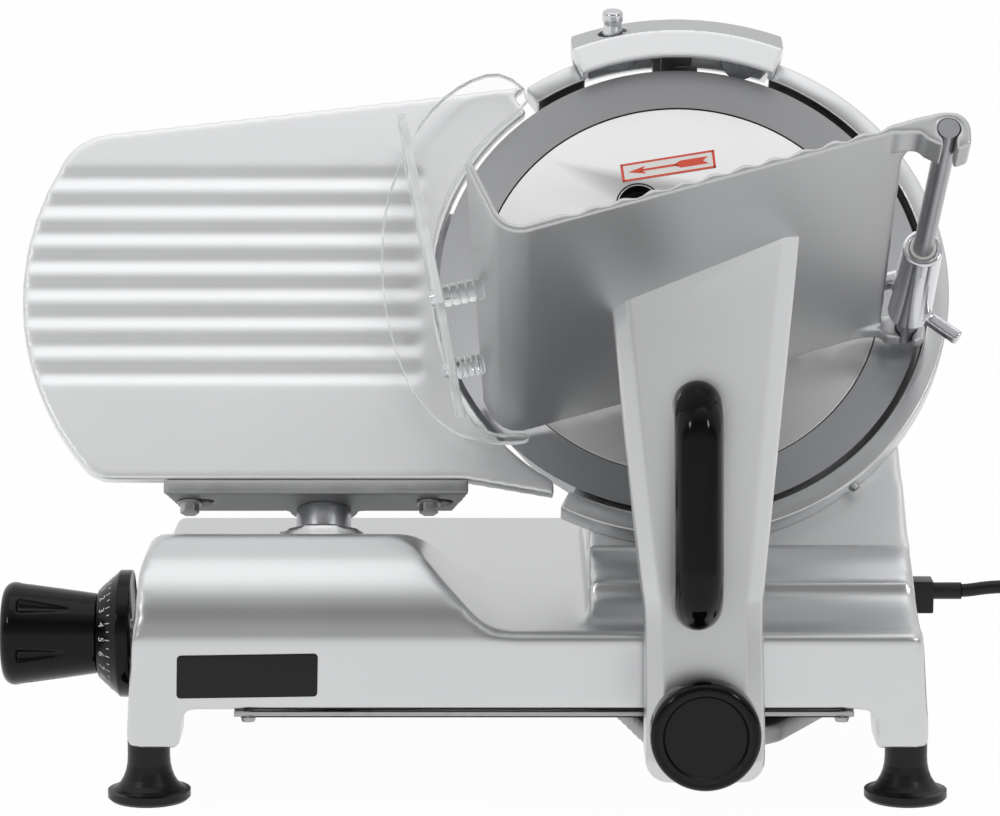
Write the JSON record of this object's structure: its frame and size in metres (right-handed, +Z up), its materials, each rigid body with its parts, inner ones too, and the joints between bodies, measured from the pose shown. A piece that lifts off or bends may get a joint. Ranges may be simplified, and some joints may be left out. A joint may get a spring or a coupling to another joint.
{
  "type": "electric food slicer",
  "caption": "Electric food slicer with a leaning round knife, ribbed gauge plate, sliding food tray with clear hand guard, index knob, sharpener and a coiled mains cord.",
  "frame": {"origin": "middle of the machine's box at table height, measured without the cord", "axes": "+X to the right of the front, along the carriage's travel; +Y away from the front; +Z up"},
  "size_m": [0.69, 0.4043, 0.377],
  "materials": {
    "cast_aluminium": "polished casting",
    "knife_steel": "brushed",
    "bright_steel": "polished",
    "disc_alloy": "satin",
    "black_plastic": "glossy",
    "black_rubber": "matte",
    "clear_plastic": "clear",
    "abrasive_stone": "rough",
    "green_plastic": "satin",
    "red_plastic": "satin",
    "white_plastic": "satin"
  },
  "bodies": {
    "base": {"base_casting": "cast_aluminium", "bottom_cover": "cast_aluminium", "cover_screws": "bright_steel", "foot_front_left": "black_rubber", "foot_front_right": "black_rubber", "foot_rear_left": "black_rubber", "foot_rear_right": "black_rubber", "knife_column": "cast_aluminium", "guard_ring": "cast_aluminium", "knife_spindle": "bright_steel", "motor": "bright_steel", "motor_cover": "cast_aluminium", "drive_belt": "black_rubber", "cover_disc": "disc_alloy", "slice_deflector": "bright_steel", "sharpener_base": "cast_aluminium", "sharpener_cover": "cast_aluminium", "index_bush": "bright_steel", "gauge_guide_rod": "bright_steel", "carriage_rail": "bright_steel", "guide_bar": "bright_steel", "switch_box": "black_plastic", "cord_gland": "black_rubber", "cord_lead": "black_rubber", "cord_coil": "black_rubber", "coil_tie": "black_plastic", "plug": "black_plastic"},
    "knife_unit": {"knife": "knife_steel", "knife_screws": "bright_steel", "knife_hub": "cast_aluminium", "hub_bearings": "bright_steel"},
    "motor_rotor": {"motor_pulley": "bright_steel"},
    "disc_clamp": {"tie_rod": "bright_steel", "disc_knob": "black_plastic"},
    "gauge_unit": {"gauge_plate": "cast_aluminium", "gauge_bracket": "cast_aluminium", "gauge_bolts": "bright_steel", "gauge_post": "bright_steel", "gauge_block": "bright_steel", "follower_pin": "bright_steel"},
    "index_unit": {"index_knob": "black_plastic", "index_dial": "black_plastic", "spiral_cam": "bright_steel"},
    "carriage": {"carriage_arm": "cast_aluminium", "tray": "cast_aluminium", "carriage_bracket": "cast_aluminium", "slide_block": "bright_steel", "handle": "black_plastic", "hand_guard": "clear_plastic", "guard_screws": "clear_plastic", "pusher_rod": "bright_steel"},
    "lock_screw": {"lock_knob": "black_plastic"},
    "pusher_runner": {"pusher_bush": "white_plastic"},
    "pusher_arm": {"pusher": "bright_steel"},
    "start_key": {"start_button": "green_plastic"},
    "stop_key": {"stop_button": "red_plastic"},
    "honing_unit": {"honing_button": "bright_steel", "honing_stone": "abrasive_stone"},
    "grinding_unit": {"grinding_button": "bright_steel", "grinding_stone": "abrasive_stone"}
  },
  "joints": [
    {"name": "blade_spin", "type": "hinge", "parent": "base", "child": "knife_unit", "pos_m": [0.09835, 0.05166, 0.238], "axis": [0, -0.848, 0.5299], "continuous": true},
    {"name": "motor_spin", "type": "hinge", "parent": "base", "child": "motor_rotor", "pos_m": [0.12835, 0.04277, 0.12564], "axis": [0, -0.848, 0.5299], "continuous": true},
    {"name": "disc_clamp_turn", "type": "hinge", "parent": "base", "child": "disc_clamp", "pos_m": [0.09835, 0.10424, 0.20514], "axis": [0, -0.848, 0.5299], "continuous": true},
    {"name": "index_turn", "type": "hinge", "parent": "base", "child": "index_unit", "pos_m": [-0.17965, -0.04134, 0.0745], "axis": [1, 0, 0], "range_deg": [0, 300]},
    {"name": "gauge_slide", "type": "slide", "parent": "base", "child": "gauge_unit", "axis": [0, 0.848, -0.5299], "range_m": [0, 0.012]},
    {"name": "carriage_slide", "type": "slide", "parent": "base", "child": "carriage", "axis": [1, 0, 0], "range_m": [-0.21, 0.02]},
    {"name": "lock_turn", "type": "hinge", "parent": "carriage", "child": "lock_screw", "pos_m": [0.10235, -0.13934, 0.053], "axis": [0, 1, 0], "continuous": true},
    {"name": "pusher_slide", "type": "slide", "parent": "carriage", "child": "pusher_runner", "axis": [0, -0.848, 0.5299], "range_m": [0, 0.105]},
    {"name": "pusher_swing", "type": "hinge", "parent": "pusher_runner", "child": "pusher_arm", "pos_m": [0.21235, 0.01929, 0.22167], "axis": [0, -0.848, 0.5299], "range_deg": [-90, 0]},
    {"name": "start_press", "type": "slide", "parent": "base", "child": "start_key", "axis": [1, 0, 0], "range_m": [0, 0.003], "stiffness_N_per_m": 400, "springref_m": -0.003},
    {"name": "stop_press", "type": "slide", "parent": "base", "child": "stop_key", "axis": [1, 0, 0], "range_m": [0, 0.003], "stiffness_N_per_m": 400, "springref_m": -0.003},
    {"name": "honing_press", "type": "slide", "parent": "base", "child": "honing_unit", "axis": [0, 0.225, -0.9744], "range_m": [0, 0.004], "stiffness_N_per_m": 500, "springref_m": -0.004},
    {"name": "grinding_press", "type": "slide", "parent": "base", "child": "grinding_unit", "axis": [0, -0.9744, -0.225], "range_m": [0, 0.004], "stiffness_N_per_m": 500, "springref_m": -0.004}
  ],
  "couplings": [
    {"joint": "motor_spin", "follows": "blade_spin", "ratio": 3.2143},
    {"joint": "index_turn", "follows": "gauge_slide", "rad_per_m": 436.33}
  ]
}
